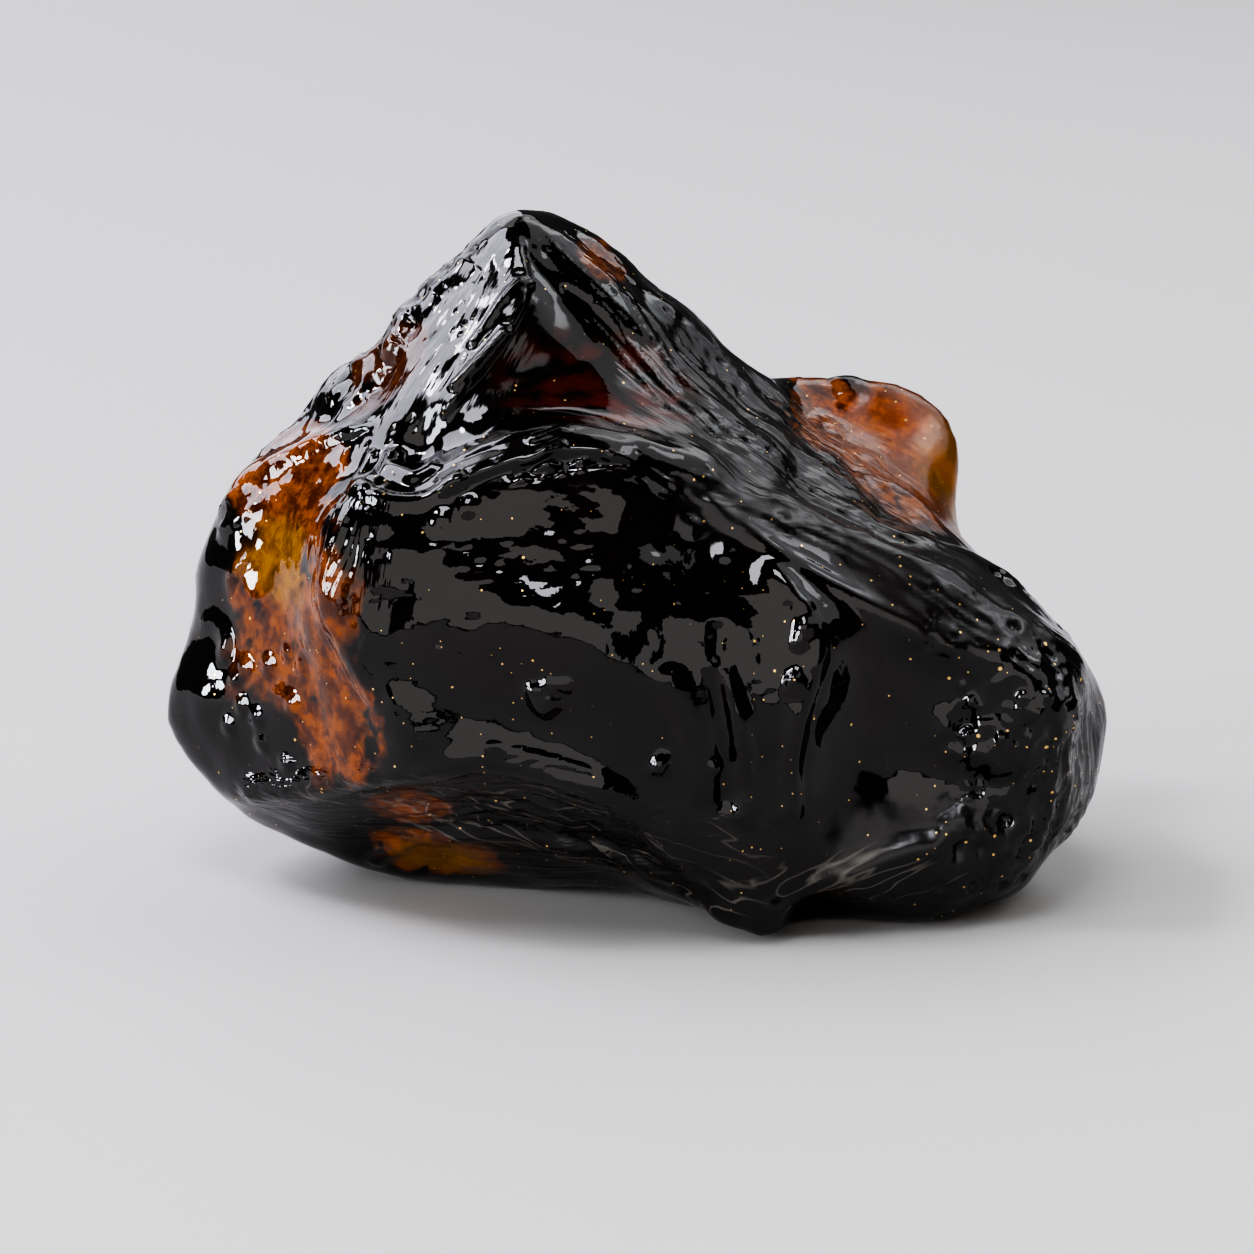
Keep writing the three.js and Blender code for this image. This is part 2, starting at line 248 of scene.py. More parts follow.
def refine(zones):
    """Cuts every face in the zones into four."""
    bpy.ops.object.mode_set(mode="EDIT")
    bpy.ops.mesh.select_mode(type="FACE")
    bpy.ops.mesh.select_all(action="DESELECT")
    bpy.ops.object.mode_set(mode="OBJECT")
    mesh = stone.data
    centres = np.empty(len(mesh.polygons) * 3)
    mesh.polygons.foreach_get("center", centres)
    centres = centres.reshape(-1, 3) / MM
    chosen = np.zeros(len(centres), bool)
    for zone in zones:
        chosen |= zone_reach(centres, zone) < 1
    mesh.polygons.foreach_set("select", chosen)
    bpy.ops.object.mode_set(mode="EDIT")
    bpy.ops.mesh.subdivide(number_cuts=1)
    bpy.ops.object.mode_set(mode="OBJECT")
    print("finer squares in", len(zones), "zones:", len(mesh.polygons), "faces in all")


refine(FRONT_ZONES)
refine(FOLD_ZONES)
apply_modifier("SMOOTH", factor=0.5, iterations=3)
bpy.ops.object.shade_smooth()

# %% [markdown]
# ## Weathered waves
#
# Resin that set slowly and then wore in sea sand is nowhere flat. Two layers of cloud noise push
# the whole skin in and out: long waves that break a mirrored panel into separate patches, and
# short ones that make the borders of those patches ragged.

# %% Push the skin in and out
def weather(name, height, grain_mm, depth):
    """Raises and lowers the skin by clouds of one grain size."""
    clouds = bpy.data.textures.new(name, "CLOUDS")
    clouds.noise_basis = "IMPROVED_PERLIN"
    clouds.noise_scale = 1.0
    clouds.noise_depth = depth
    guide = bpy.data.objects.new(name, None)
    bpy.context.scene.collection.objects.link(guide)
    guide.scale = Vector((grain_mm, grain_mm, grain_mm)) * MM
    bpy.context.view_layer.update()
    apply_modifier("DISPLACE", texture=clouds, texture_coords="OBJECT", texture_coords_object=guide,
                   strength=height * MM, mid_level=0.5)
    bpy.data.objects.remove(guide)
    bpy.data.textures.remove(clouds)
    print(name, "of", height, "mm on grains of", grain_mm, "mm")


weather("swell", 0.95, 6.0, 1)
weather("ripple", 0.24, 2.4, 2)

# %% [markdown]
# ## Carving tools
#
# The folds follow lines, so most tools take a path of a few points. The path is smoothed, laid on
# the skin, and every corner near it is told how far along it lies and how far to its left. From
# these two numbers a tool works out how far to push the corner along its normal. All but the pits
# taper towards both ends of their path. All lengths are in millimetres.

# %% Lay a path on the skin
SAMPLE_STEP = 0.2
LONGEST_TAPER = 0.3  # as a share of the path
BLUNT_END = 0.15     # how far the taper has already risen at the end itself


def curve_through(path):
    """A smooth line through a few points, as close samples, in millimetres."""
    path = np.array(path, float)
    ends = np.vstack([2 * path[0] - path[1], path, 2 * path[-1] - path[-2]])
    samples = []
    for a, b, c, d in zip(ends, ends[1:], ends[2:], ends[3:]):
        count = max(2, int(np.linalg.norm(c - b) / SAMPLE_STEP))
        t = np.linspace(0, 1, count, endpoint=False)[:, None]
        samples.append(0.5 * (2 * b + (c - a) * t + (2 * a - 5 * b + 4 * c - d) * t ** 2
                              + (3 * b - a - 3 * c + d) * t ** 3))
    samples.append(path[-1:])
    return np.vstack(samples)


def laid_on_skin(line):
    """Moves each sample of a line to the nearest place on the skin."""
    laid = []
    for sample in line:
        _, nearest, _, _ = stone.closest_point_on_mesh(Vector(sample) * MM)
        laid.append(np.array(nearest) / MM)
    return np.array(laid)


class Band:
    """The skin's corners near a path, with how far along it and how far to its left each one is."""

    def __init__(self, path, reach):
        line = laid_on_skin(curve_through(path))
        self.points, self.normals = read_points()
        box = ((self.points > line.min(0) - reach) & (self.points < line.max(0) + reach)).all(1)
        near = np.flatnonzero(box)
        gap = np.full(len(near), np.inf)
        nearest = np.zeros(len(near), int)
        for i, sample in enumerate(line):
            distance = np.linalg.norm(self.points[near] - sample, axis=1)
            closer = distance < gap
            gap[closer] = distance[closer]
            nearest[closer] = i
        inside = gap < reach
        self.corners, self.gap, nearest = near[inside], gap[inside], nearest[inside]
        steps = np.linalg.norm(np.diff(line, axis=0), axis=1)
        run = np.concatenate([[0], np.cumsum(steps)])
        tangents = np.gradient(line, axis=0)
        shortest = 1e-9
        tangents /= np.maximum(np.linalg.norm(tangents, axis=1), shortest)[:, None]
        offset = self.points[self.corners] - line[nearest]
        left = np.cross(self.normals[self.corners], tangents[nearest])
        self.left = np.einsum("ij,ij->i", offset, left)
        self.along = run[nearest] + np.einsum("ij,ij->i", offset, tangents[nearest])
        from_end = np.minimum(self.along, run[-1] - self.along)
        self.taper = smooth_step(from_end / min(reach, LONGEST_TAPER * run[-1]) + BLUNT_END)
        # The outer half of the band fades out.
        self.fade = smooth_step(2 * (1 - self.gap / reach))

    def push(self, lift):
        """Moves the band's corners along their normals by so many mm."""
        self.points[self.corners] += self.normals[self.corners] * lift[:, None]
        write_points(self.points)


# %% Tools that follow a path
def ridge(path, width, height, beads=0.0):
    """A round ridge, or with a negative height a groove. Beads is the spacing of swellings on it."""
    band = Band(path, width)
    lift = height * band.taper * np.clip(1 - (band.gap / width) ** 2, 0, None) ** 2
    if beads:
        # Between two swellings a fifth of the height is left.
        lift *= 0.6 + 0.4 * np.cos(band.along / beads * 2 * math.pi)
    band.push(lift)


def ledge(path, reach, height):
    """A step: the skin on the path's left stands up sharply, then eases back to level."""
    edge = 0.3
    band = Band(path, reach)
    up = smooth_step((band.left + edge) / (2 * edge))
    band.push(height * band.taper * up * np.clip(1 - band.gap / reach, 0, None))


def comb(path, reach, grain, height, seed, ropes=False):
    """Wrinkles along a path, as on slow resin. Grain is their length and width. Ropes are thin ridges."""
    length, width = grain
    band = Band(path, reach)
    spots = zip(band.along / length, band.left / width)
    value = np.array([noise.noise(Vector((a, b, seed))) for a, b in spots])
    if ropes:
        # A rope stands where the noise passes through nought, and the skin between ropes sinks.
        thinness = 2.6
        sink = 0.25
        value = np.clip(1 - thinness * np.abs(value), 0, None) ** 2 - sink
    band.push(height * value * band.taper * band.fade)


def pits(path, reach, cell, depth, share, seed, size=0.32):
    """Small pits strewn along a path. Share is how many of the cells hold one."""
    length, width = cell
    band = Band(path, reach)
    lift = np.zeros(len(band.corners))
    shuffle = 7.3  # turns a pit's place into a random number of its own
    for i, (a, b) in enumerate(zip(band.along / length, band.left / width)):
        (gap, *_), (centre, *_) = noise.voronoi(Vector((a, b, seed)))
        if noise.cell(centre * shuffle) < share:
            lift[i] = -depth * max(0, 1 - (gap / size) ** 2) ** 2
    band.push(lift * band.fade)


# %% Tools for one place
def bumps(places, radius, height):
    """Low round bumps, or with a negative height dimples."""
    points, normals = read_points()
    for middle in laid_on_skin(np.array(places, float)):
        near = np.flatnonzero((np.abs(points - middle) < radius).all(1))
        gap = np.linalg.norm(points[near] - middle, axis=1) / radius
        points[near] += normals[near] * (height * np.clip(1 - gap ** 2, 0, None) ** 2)[:, None]
    write_points(points)


def calm(zone, times):
    """Takes the small waves out of one zone, so that the folds there read clearly."""
    points, _ = read_points()
    border = 1.6  # full strength in the inner three eighths of the zone, none at its edge
    least = 0.01  # corners with less weight than this are left out
    weights = smooth_step(border - border * zone_reach(points, zone))
    group = stone.vertex_groups.new(name="zone")
    for corner in np.flatnonzero(weights > least):
        group.add([int(corner)], weights[corner], "REPLACE")
    apply_modifier("SMOOTH", factor=0.8, iterations=times, vertex_group=group.name)
    stone.vertex_groups.clear()


# %% [markdown]
# ## Upper left slope and bowl
#
# Below the peak a steep sheet runs down to a small round bowl. The sheet is drawn out in long
# stripes with pits between them, its skyline is knobbly, and its front edge is a crisp ledge from
# which two splinters stand off. The bowl has a raised lip on its lower left. The waves are taken
# out first where these forms are to read, and most of all in the smooth facet under the peak.

# %% Carve the bowl
IN_BOWL = ((-13.5, -9.5, 29.5), (5, 5, 4))
ON_BROW = ((-6, -12, 30), (8, 3, 2.5))
ON_SLOPE = ((-11, -5, 36), (4, 5, 7))
UNDER_PEAK = ((-2.5, -6, 33.5), (7.5, 5, 5))
BOWL_MIDDLE = [(-13, -9.5, 30)]
BOWL_LIP = [(-14.5, -8.5, 30), (-15, -10, 29.5), (-14, -11, 29), (-13, -11.5, 28.5), (-11.5, -11, 29.5)]
calm(IN_BOWL, times=25)
calm(ON_BROW, times=12)
calm(ON_SLOPE, times=8)
calm(UNDER_PEAK, times=60)
bumps(BOWL_MIDDLE, 1.8, -0.3)
ridge(BOWL_LIP, 0.9, 0.5)
print("bowl carved")

# %% Draw out the slope
SLOPE = [(-14.5, -8, 30.5), (-12, -6.5, 34), (-9.5, -5, 37.5), (-8, -2, 41.5)]
SKYLINE = [(-9, 0, 40.5), (-12.5, -1, 37), (-16.5, -1.5, 33), (-21, -1, 29.5)]
CREST = [(-11.5, -9, 31.5), (-10, -8, 33.5), (-8, -6, 36), (-6.5, -4, 39), (-7, -1.5, 42)]
UPPER_SPLINTER = [(-10, -6.5, 35.5), (-8, -5, 38), (-6.5, -3.5, 39.5)]
LOWER_SPLINTER = [(-11, -8, 33), (-9, -7, 35.5), (-7.5, -6, 37)]
comb(SLOPE, 4.0, (8, 1.1), 0.10, seed=0)
comb(SLOPE, 3.5, (7, 0.7), 0.035, seed=4, ropes=True)
pits(SLOPE, 3.5, (1.3, 0.7), 0.10, share=0.3, seed=0)
comb(SKYLINE, 3.0, (2.0, 1.6), 0.6, seed=2)
pits(SKYLINE, 3.0, (1.1, 0.8), 0.15, share=0.4, seed=3)
ledge(CREST, 1.8, 0.6)
ridge(UPPER_SPLINTER, 0.55, 0.35)
ridge(LOWER_SPLINTER, 0.55, 0.4)
print("slope carved")

# %% [markdown]
# ## Shelf, brow and left edge
#
# Left of the bowl a shelf juts out with a beaded edge. Right of it a brow of slumped resin
# overhangs the front face, with two thin streaks on it and a crumbled stretch at its edge. From
# the bowl's lip a rope of fine folds runs down the left edge of that face.

# %% Carve the shelf, the brow and the left edge
SHELF = [(-24, -2.5, 26.5), (-21, -3.5, 28), (-18.5, -5, 29.5), (-16, -7, 31)]
OUTER_LIP = [(-16, -8, 30), (-17, -10, 28), (-15, -12.5, 27.5), (-12.5, -13.5, 28), (-10, -13, 29)]
BROW = [(-15.5, -12, 27.5), (-12, -13, 28.5), (-8, -12.5, 30), (-4, -12, 31), (0.5, -12, 30.5)]
BROW_EDGE = [(-12, -13.5, 28), (-8, -13, 29.5), (-4, -12.5, 30.5), (0.5, -12.5, 30)]
UPPER_STREAK = [(-6.5, -12, 31), (-5, -11.5, 31.5), (-4, -11, 32)]
LOWER_STREAK = [(-7, -12.5, 30), (-5.5, -12.5, 30.5), (-4, -12, 31)]
CRUMBLED_BROW = [(-7.5, -13.5, 29), (-5.5, -13, 29.5), (-2.5, -12.5, 30), (-1, -12.5, 30)]
LEFT_EDGE = [
    (-15.5, -10, 29), (-17, -12, 27), (-18, -13.5, 25),
    (-18.5, -13.5, 22), (-17.5, -14.5, 18.5), (-15.5, -15.5, 15.5),
]
ledge(SHELF, 2.4, 0.7)
ridge(SHELF, 0.6, 0.2, beads=2.2)
ridge(OUTER_LIP, 0.8, 0.35)
comb(BROW, 2.0, (7, 1.3), 0.16, seed=1)
ledge(BROW_EDGE, 1.8, 0.55)
ridge(UPPER_STREAK, 0.5, 0.3)
ridge(LOWER_STREAK, 0.4, 0.25)
comb(CRUMBLED_BROW, 0.7, (1.0, 0.5), 0.4, seed=6)
ridge(LEFT_EDGE, 1.2, 0.2)
comb(LEFT_EDGE, 2.2, (6, 0.8), 0.10, seed=5, ropes=True)
print("shelf, brow and left edge carved")

# %% [markdown]
# ## Left face
#
# The left end is a rounded lobe with a few short ropes of resin, a ledge near its rim, and a
# scatter of low blisters that each catch a lamp. The skin is calmed before they are raised,
# because a blister on rough skin breaks its glint into crumbs.

# %% Carve the left face
ROPES = [
    [(-26.5, -0.5, 24), (-25.5, -1.5, 25), (-24, -3, 26)],
    [(-26.5, -2, 23), (-24.5, -3.5, 24.5), (-23.5, -4, 25.5)],
    [(-25.5, -4, 20), (-24.5, -4.5, 21.5), (-24, -5, 22)],
]
RIM_LEDGE = [(-26, -5, 15.5), (-25.5, -5, 17), (-26.5, -3, 18), (-28, -2, 17)]
UNDER_BLISTERS = ((-23.5, -8, 13.5), (4, 4, 6))
BLISTERS = [
    (-20.5, -10, 16.5), (-21.5, -9, 17), (-23, -8, 16), (-25, -6, 14.5),
    (-24.5, -6.5, 15.5), (-24.5, -6.5, 13), (-21, -9.5, 14), (-25.5, -6, 11.5),
    (-23.5, -7.5, 12.5), (-23, -7.5, 11), (-21.5, -9, 10), (-26, -5, 16),
]
for rope in ROPES:
    ridge(rope, 0.6, 0.3)
ledge(RIM_LEDGE, 1.5, 0.4)
calm(UNDER_BLISTERS, times=25)
bumps(BLISTERS, 0.95, 0.26)
print("left face:", len(ROPES), "ropes and", len(BLISTERS), "blisters")

# %% [markdown]
# ## Front face
#
# The front is a broad, nearly flat face, polished by the sea. A low crest crosses it, flutes run
# down its right part to a sharp edge, and small blisters and pits break its shine. The skin is
# calmed on the crest's middle and round the blisters, so that they mirror clean shapes.

# %% Carve the front face
FRONT_CREST = [(-17, -14, 23.5), (-12.5, -15, 24), (-9, -16, 23), (-4.5, -17, 21.5), (0.5, -17, 20)]
CREST_MIDDLE = ((-6, -16.5, 21), (3.5, 3, 2.5))
FLUTES = [
    ([(1.5, -16.5, 18.5), (3.5, -16.5, 14), (4.5, -16.5, 9.5)], 1.3, 0.4),
    ([(4.5, -16, 19), (6, -16, 15.5), (7, -16.5, 11), (6.5, -16, 8)], 1.0, 0.45),
    ([(5, -15.5, 21), (5, -16.5, 16.5), (5.5, -16.5, 12), (5.5, -16, 9)], 0.8, -0.4),
]
FACE_EDGE = [
    (8, -13, 24), (10, -14.5, 21.5), (11, -15.5, 19),
    (10, -16, 16), (9.5, -16, 12.5), (9.5, -15.5, 8),
]
MIDDLE_BLISTER = [(-6, -17, 15.5), (-4.5, -17, 17)]
LOWER_BLISTER = [(1, -16.5, 12.5), (2, -16.5, 12)]
SMALL_BLISTERS = [
    (-5, -17, 17.5), (-4, -17, 17.5), (-6, -17, 17), (5, -16.5, 12),
    (10, -15, 19.5), (9.5, -16, 17), (10, -15.5, 20.5), (9.5, -16, 17.5),
]
BROAD_BLISTERS = [(-11.5, -14.5, 27), (-10, -14, 27.5), (3.5, -12.5, 26), (5.5, -13, 24.5)]
CALM_SPOTS = [
    (-5, -17, 16.5), (1.5, -16.5, 12), (10, -15.5, 20),
    (9.5, -16, 17), (-10.5, -14, 27.5), (4.5, -13, 25),
]
SPOT_RADII = (2, 2, 2)
FACE_MIDDLE = [(-15, -14.5, 21), (-8, -16, 21), (0, -16, 21), (7, -15, 20)]
ridge(FRONT_CREST, 2.4, 0.2)
calm(CREST_MIDDLE, times=25)
for flute, width, height in FLUTES:
    ridge(flute, width, height)
ridge(FACE_EDGE, 1.0, 0.45)
for spot in CALM_SPOTS:
    calm((spot, SPOT_RADII), times=20)
ridge(MIDDLE_BLISTER, 1.3, 0.85)
ridge(LOWER_BLISTER, 1.1, 0.7)
bumps(SMALL_BLISTERS, 0.85, 0.45)
bumps(BROAD_BLISTERS, 1.0, 0.3)
pits(FACE_MIDDLE, 8.5, (1.1, 0.8), 0.10, share=0.5, seed=20, size=0.36)
print("front face:", len(FLUTES), "flutes and", len(SMALL_BLISTERS + BROAD_BLISTERS), "small blisters")

# %% [markdown]
# ## Knob, lip and right lobe
#
# A drop of resin, full at both sides, hangs at the foot of the face. A lip runs from it to the
# right under a smooth hollow, and ends in a lobe whose skin is pitted and wrinkled like leather.

# %% Carve the right end
KNOB_SIDES = [(5, -14, 1.5), (8.5, -13.5, 1.5)]
LIP = [
    (7.5, -15, 2), (10, -14, 3), (12, -14.5, 4), (14.5, -14, 5),
    (17, -14, 6), (19, -13.5, 6.5), (21.5, -13, 9.5),
]
LOBE = [(21, -13, 18), (23.5, -13.5, 14), (24, -13, 9), (22, -12, 4)]
LOBE_BEADS = [
    (20, -12.5, 16), (20.5, -12.5, 15), (23.5, -13.5, 15.5), (24.5, -13, 14.5),
    (25, -13, 15.5), (23.5, -13, 14), (22.5, -13.5, 13),
]
LOBE_RIM = [(26, -10.5, 16), (28.5, -8, 12), (28.5, -7, 7.5), (26, -9, 3)]
bumps(KNOB_SIDES, 2.0, 0.55)
ridge(LIP, 1.2, 0.3)
comb(LIP, 1.8, (6, 0.8), 0.08, seed=7, ropes=True)
comb(LOBE, 6.0, (2.0, 1.6), 0.5, seed=8)
comb(LOBE, 5.5, (2.0, 1.0), 0.25, seed=9, ropes=True)
pits(LOBE, 5.5, (1.4, 1.1), 0.45, share=0.5, seed=10, size=0.42)
comb(LOBE_RIM, 3.2, (6, 1.0), 0.15, seed=11, ropes=True)
bumps(LOBE_BEADS, 0.6, 0.35)
print("right end carved")

# %% [markdown]
# ## Shoulder and right slope
#
# From the peak the right slope falls away in long shallow folds, with drawn-out pits between
# them. Its lower border is a strap of resin that curls round the shoulder to the lobe.

# %% Carve the shoulder and the right slope
STRAP = [(0.5, -11.5, 30.5), (6.5, -10.5, 27), (14.5, -10, 24.5), (22, -11, 20), (28, -9, 15.5)]
STRAP_FOOT = [(4, -11.5, 27.5), (9.5, -12.5, 24), (17, -13, 19.5), (20, -13, 18)]
RIGHT_CREST = [(-6, -0.5, 42.5), (-1, -2.5, 38), (3.5, -4, 32.5), (10.5, -4.5, 27), (19, -5.5, 23)]
MIDDLE_FLOW = [(1.5, 1, 37), (8, 1, 30.5), (15.5, 0.5, 25)]
OUTER_FLOW = [(5.5, 2, 33.5), (12.5, 4.5, 27.5), (19, 1, 24)]
ALONG_STRAP = ((14, -10.5, 24.5), (15, 5, 6))
calm(ALONG_STRAP, times=25)
comb(STRAP, 3.0, (9, 1.8), 0.25, seed=12)
comb(STRAP, 2.6, (5, 0.9), 0.10, seed=21, ropes=True)
pits(STRAP, 2.4, (1.8, 0.9), 0.14, share=0.25, seed=22)
ridge(STRAP_FOOT, 1.0, 0.25)
comb(RIGHT_CREST, 3.0, (8, 1.0), 0.16, seed=13, ropes=True)
pits(RIGHT_CREST, 3.0, (1.9, 0.8), 0.20, share=0.45, seed=14)
comb(MIDDLE_FLOW, 4.0, (8, 1.1), 0.16, seed=15, ropes=True)
pits(MIDDLE_FLOW, 4.0, (2.0, 0.9), 0.22, share=0.45, seed=16)
comb(OUTER_FLOW, 3.5, (7, 1.2), 0.12, seed=17, ropes=True)
print("shoulder and right slope carved")

# %% [markdown]
# ## Back and underside
#
# The back is finished as the front is, with five bands of folds and dints that run down it. Under
# the front face's lower rim the folds lie close together and run level towards the knob.

# %% Carve the back and the underside
BACK_FLOWS = [
    [(-6, 6, 40), (-9, 12, 30), (-12, 15, 18), (-13, 14, 8)],
    [(2, 6, 35), (3, 13, 26), (2, 17, 15)],
    [(13, 9, 30), (14, 14, 20), (12, 16, 9)],
    [(-20, 2, 30), (-24, 7, 20), (-24, 8, 9)],
    [(24, -2, 20), (27, 2, 13), (25, 4, 6)],
]
LOWER_RIM = [(-25, -6, 7), (-19.5, -11, 9), (-14, -15.5, 11), (-9, -17, 12.5), (-2, -17, 10.5), (3, -15, 5)]
RIM_FOLDS = [(-14, -15.5, 11), (-9, -17, 12.5), (-2, -17, 10.5), (3, -15, 5)]
UNDER_RIM = [(-17, -10, 7), (-9, -13.5, 8.5), (-3, -13, 7), (2, -13, 4)]
SOLE_RIDGE = [(-17, -4.5, 2), (-13, -8, 5), (-9, -10.5, 6), (-4.5, -11.5, 5.5), (3, -13, 3.5)]
for number, flow in enumerate(BACK_FLOWS):
    comb(flow, 5.0, (8, 2.2), 0.7, seed=30 + number)
    comb(flow, 4.5, (7, 1.5), 0.22, seed=40 + number, ropes=True)
    pits(flow, 5.0, (2.2, 1.4), 0.35, share=0.25, seed=50 + number, size=0.45)
ridge(LOWER_RIM, 1.5, 0.4)
comb(RIM_FOLDS, 1.8, (7, 0.9), 0.2, seed=18, ropes=True)
comb(UNDER_RIM, 4.0, (7, 1.0), 0.34, seed=19, ropes=True)
ridge(SOLE_RIDGE, 1.0, 0.35)
print("back flows:", len(BACK_FLOWS))

# %% [markdown]
# The carved skin may not reach outside the CAD solid's box, and its foot stays flat on the floor.

# %% Keep the skin inside the solid's box
points, _ = read_points()
boxed = np.clip(points, np.array(low) / MM, np.array(high) / MM)
write_points(boxed)
print("corners moved back:", int((boxed != points).any(1).sum()), "of", len(points))
print("triangles:", sum(len(face.vertices) - 2 for face in stone.data.polygons))

# %% [markdown]
# ## Amber
#
# The finish is one glassy resin. Its surface colour does two jobs: over most of the nugget it is
# a nearly black skin that swallows light, and in a few windows it is a mottled amber that lets
# light in and out again. Inside, the resin takes out blue and green as light goes deeper, so thin
# places glow yellow and thick ones a deep orange. The sea has polished the skin, which gives the
# eye sharp, wet reflections over that dark body. All patterns are worked out in millimetres from
# the place in space, so they run through the stone and need no unwrapping.
#
# A Mix node has sockets for each kind of value. Its factor is input 0. For colours it mixes inputs
# 6 and 7 to output 2, and for vectors inputs 4 and 5 to output 1.

# %% Start the amber
amber = bpy.data.materials.new("wet_blue_amber")
amber.use_nodes = True
shader = amber.node_tree.nodes["Principled BSDF"]


def add_node(kind, inputs, output=0, **settings):
    """Adds a node to the amber, sets it, fills or links its inputs, and gives one of its outputs."""
    node = amber.node_tree.nodes.new(kind)
    for name, value in settings.items():
        setattr(node, name, value)
    for name, value in inputs.items():
        if isinstance(value, bpy.types.NodeSocket):
            amber.node_tree.links.new(value, node.inputs[name])
        else:
            node.inputs[name].default_value = value
    return node.outputs[output]


place = add_node("ShaderNodeTexCoord", {}, "Object")


def per(size_mm):
    """The scale that makes one feature of a pattern so many millimetres wide."""
    return 1 / (size_mm * MM)


def reach_into(zone):
    """How far a place lies out in an ellipsoid zone: nought at its centre, one at its edge."""
    centre, radii = zone
    inputs = {"Vector": place, "Location": Vector(centre) * MM, "Scale": Vector(radii) * MM}
    moved = add_node("ShaderNodeMapping", inputs, vector_type="TEXTURE")
    return add_node("ShaderNodeVectorMath", {0: moved}, "Value", operation="LENGTH")


def drawn_out(along, length_mm, width_mm):
    """The place, turned along a direction and counted in grains instead of metres."""
    turn = Vector(along).to_track_quat("X", "Z").to_euler()
    inputs = {"Vector": place, "Rotation": turn, "Scale": Vector((length_mm, width_mm, width_mm)) * MM}
    return add_node("ShaderNodeMapping", inputs, vector_type="TEXTURE")


# %% [markdown]
# A window is an ellipsoid whose border is made ragged: coarse noise is added to the reach, so the
# border wanders in and out. The amber shows in the windows, except where blotches of dark crust
# lie over it. The hump has no crust.

# %% Windows in the skin
CLEAR_ZONES = [
    ((-20.5, -9, 20), (6, 8, 9)),
    ((-18.5, -12, 14), (4.5, 5, 4.5)),
    ((-21, -4, 27), (5, 6, 3.5)),
    ((-15.5, -3, 33.5), (3, 4, 3.5)),
    ((-14, -11, 8), (3, 4, 2)),
    ((-12, -7, 3.5), (4.5, 5, 2.5)),
    ((17, 8, 26.5), (9, 9, 7)),
    ((-1.5, 1, 40), (2.5, 4, 1.5)),
    ((-7, 15, 19), (8, 5, 7)),
    ((11, 14, 12), (7, 5, 5)),
]
HUMP = ((20, 8, 26), (8, 9, 7))
RAGGED_BY = 0.65

wander = add_node("ShaderNodeTexNoise", {"Vector": place, "Scale": per(5), "Detail": 3, "Roughness": 0.6})
ragged = add_node("ShaderNodeMapRange", {"Value": wander, "To Min": -RAGGED_BY, "To Max": RAGGED_BY})


def nearest_reach(zones):
    """The reach into the nearest of several zones, with ragged borders."""
    nearest = reach_into(zones[0])
    for zone in zones[1:]:
        nearest = add_node("ShaderNodeMath", {0: nearest, 1: reach_into(zone)}, operation="MINIMUM")
    return add_node("ShaderNodeMath", {0: nearest, 1: ragged}, operation="ADD")


crust = {"Vector": place, "Scale": per(3.5), "Detail": 3, "Roughness": 0.6}
blotches = add_node("ShaderNodeTexNoise", crust)
bare = add_node("ShaderNodeMapRange", {"Value": blotches, "From Min": 0.64, "From Max": 0.58})
on_hump = add_node("ShaderNodeMapRange", {"Value": reach_into(HUMP), "From Min": 1.0, "From Max": 0.7})
bare = add_node("ShaderNodeMath", {0: bare, 1: on_hump}, operation="MAXIMUM")
inside = {"Value": nearest_reach(CLEAR_ZONES), "From Min": 1.05, "From Max": 0.85}
window = add_node("ShaderNodeMapRange", inside, interpolation_type="SMOOTHSTEP")
window = add_node("ShaderNodeMath", {0: window, 1: bare}, operation="MULTIPLY")
print("clear windows:", len(CLEAR_ZONES))

# %% [markdown]
# The amber in the windows is mottled from brown to orange, and less so on the hump. Where the
# stone is thinnest, a honey yellow is painted in as the glow of light shining through it, and under
# the left skyline the amber turns to umber. The painted glow follows the mottling, so its border isn't
# seen.

# %% Colour of the amber
# Painted glow: in these zones a honey yellow stands in for light shining through the thinnest resin.
PAINTED_GLOW_ZONES = [
    ((23, 8, 25), (4.5, 7, 5)),
    ((-22, -7, 22.5), (4.5, 5, 3)),
    ((-12, -7, 3), (3.5, 4, 2)),
]
UMBER = ((-15, -2, 34), (8, 7, 6))
UMBER_STRENGTH = 0.75
HUMP_EVENNESS = 0.35
BROWN = "#642a08"
ORANGE = "#c4660a"
PAINTED_GLOW_YELLOW = "#c98a08"
DARK_UMBER = "#3c1a0b"

clouds = {"Vector": place, "Scale": per(1.3), "Detail": 4, "Roughness": 0.75}
clouds = add_node("ShaderNodeTexNoise", clouds)
mottle = add_node("ShaderNodeMapRange", {"Value": clouds, "From Min": 0.38, "From Max": 0.66},
                  interpolation_type="SMOOTHSTEP")
even = add_node("ShaderNodeMath", {0: on_hump, 1: HUMP_EVENNESS}, operation="MULTIPLY")
mottle = add_node("ShaderNodeMath", {0: mottle, 1: even}, operation="MAXIMUM")
browns = {0: mottle, 6: linear(BROWN), 7: linear(ORANGE)}
amber_colour = add_node("ShaderNodeMix", browns, 2, data_type="RGBA")
